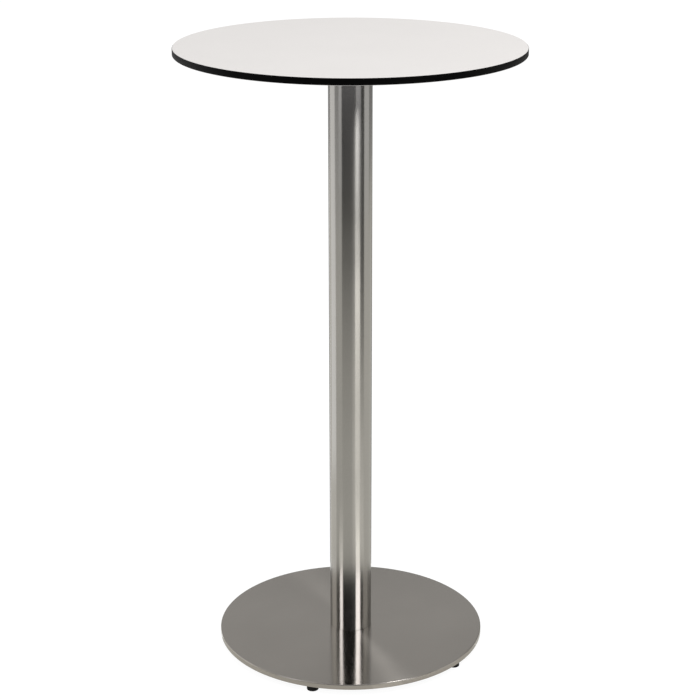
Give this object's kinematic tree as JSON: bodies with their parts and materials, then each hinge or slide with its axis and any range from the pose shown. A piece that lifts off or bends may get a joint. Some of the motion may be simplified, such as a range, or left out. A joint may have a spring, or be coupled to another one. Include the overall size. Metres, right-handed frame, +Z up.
{
  "type": "pub table",
  "caption": "Tall round pub table: thin compact-laminate top with a black edge on a brushed steel column and a flat weighted disc base with screw feet.",
  "frame": {"origin": "on the floor, under the middle of the table, where the column's axis meets the floor", "axes": "+Z up along the column, -Y towards the side that the picture shows, +X to the right of that view"},
  "size_m": [0.5999, 0.6, 1.1],
  "materials": {
    "laminate_white": "white high-pressure laminate, fine satin",
    "core_black": "black phenolic core, machined and polished edge",
    "stainless_brushed": "brushed stainless steel",
    "spider_cast": "black powder coat on a casting",
    "ballast_paint": "black paint on sawn steel plate",
    "fastener_zinc": "bright zinc plate",
    "insert_brass": "turned brass",
    "disc_plastic": "black nylon",
    "foot_plastic": "black moulded nylon"
  },
  "bodies": {
    "table": {"top_core": "core_black", "top_face_laminate": "laminate_white", "top_back_laminate": "laminate_white", "top_inserts": "insert_brass", "top_spider": "spider_cast", "spider_screws": "fastener_zinc", "spider_washers": "fastener_zinc", "column_tube": "stainless_brushed", "tie_rod": "fastener_zinc", "tie_rod_top_washer": "fastener_zinc", "tie_rod_top_nut": "fastener_zinc", "tie_rod_lock_washer": "fastener_zinc", "tie_rod_lock_nut": "fastener_zinc", "lower_centring_disc": "disc_plastic", "base_cover": "stainless_brushed", "ballast_plate": "ballast_paint"},
    "foot_1": {"foot_1_pad": "foot_plastic"},
    "foot_1_screw": {"foot_1_screw": "fastener_zinc"},
    "foot_2": {"foot_2_pad": "foot_plastic"},
    "foot_2_screw": {"foot_2_screw": "fastener_zinc"},
    "foot_3": {"foot_3_pad": "foot_plastic"},
    "foot_3_screw": {"foot_3_screw": "fastener_zinc"},
    "foot_4": {"foot_4_pad": "foot_plastic"},
    "foot_4_screw": {"foot_4_screw": "fastener_zinc"},
    "foot_5": {"foot_5_pad": "foot_plastic"},
    "foot_5_screw": {"foot_5_screw": "fastener_zinc"}
  },
  "joints": [
    {"name": "foot_1_height", "type": "slide", "parent": "table", "child": "foot_1", "axis": [0, 0, -1], "range_m": [0, 0.004]},
    {"name": "foot_1_turn", "type": "hinge", "parent": "foot_1", "child": "foot_1_screw", "pos_m": [-0.06713, -0.21685, 0.006], "axis": [0, 0, -1], "range_deg": [0, 1160]},
    {"name": "foot_2_height", "type": "slide", "parent": "table", "child": "foot_2", "axis": [0, 0, -1], "range_m": [0, 0.004]},
    {"name": "foot_2_turn", "type": "hinge", "parent": "foot_2", "child": "foot_2_screw", "pos_m": [0.18549, -0.13085, 0.006], "axis": [0, 0, -1], "range_deg": [0, 1160]},
    {"name": "foot_3_height", "type": "slide", "parent": "table", "child": "foot_3", "axis": [0, 0, -1], "range_m": [0, 0.004]},
    {"name": "foot_3_turn", "type": "hinge", "parent": "foot_3", "child": "foot_3_screw", "pos_m": [0.18177, 0.13598, 0.006], "axis": [0, 0, -1], "range_deg": [0, 1160]},
    {"name": "foot_4_height", "type": "slide", "parent": "table", "child": "foot_4", "axis": [0, 0, -1], "range_m": [0, 0.004]},
    {"name": "foot_4_turn", "type": "hinge", "parent": "foot_4", "child": "foot_4_screw", "pos_m": [-0.07315, 0.21489, 0.006], "axis": [0, 0, -1], "range_deg": [0, 1160]},
    {"name": "foot_5_height", "type": "slide", "parent": "table", "child": "foot_5", "axis": [0, 0, -1], "range_m": [0, 0.004]},
    {"name": "foot_5_turn", "type": "hinge", "parent": "foot_5", "child": "foot_5_screw", "pos_m": [-0.22698, -0.00317, 0.006], "axis": [0, 0, -1], "range_deg": [0, 1160]}
  ],
  "couplings": [
    {"joint": "foot_1_turn", "follows": "foot_1_height", "rad_per_m": 5026.5},
    {"joint": "foot_2_turn", "follows": "foot_2_height", "rad_per_m": 5026.5},
    {"joint": "foot_3_turn", "follows": "foot_3_height", "rad_per_m": 5026.5},
    {"joint": "foot_4_turn", "follows": "foot_4_height", "rad_per_m": 5026.5},
    {"joint": "foot_5_turn", "follows": "foot_5_height", "rad_per_m": 5026.5}
  ]
}
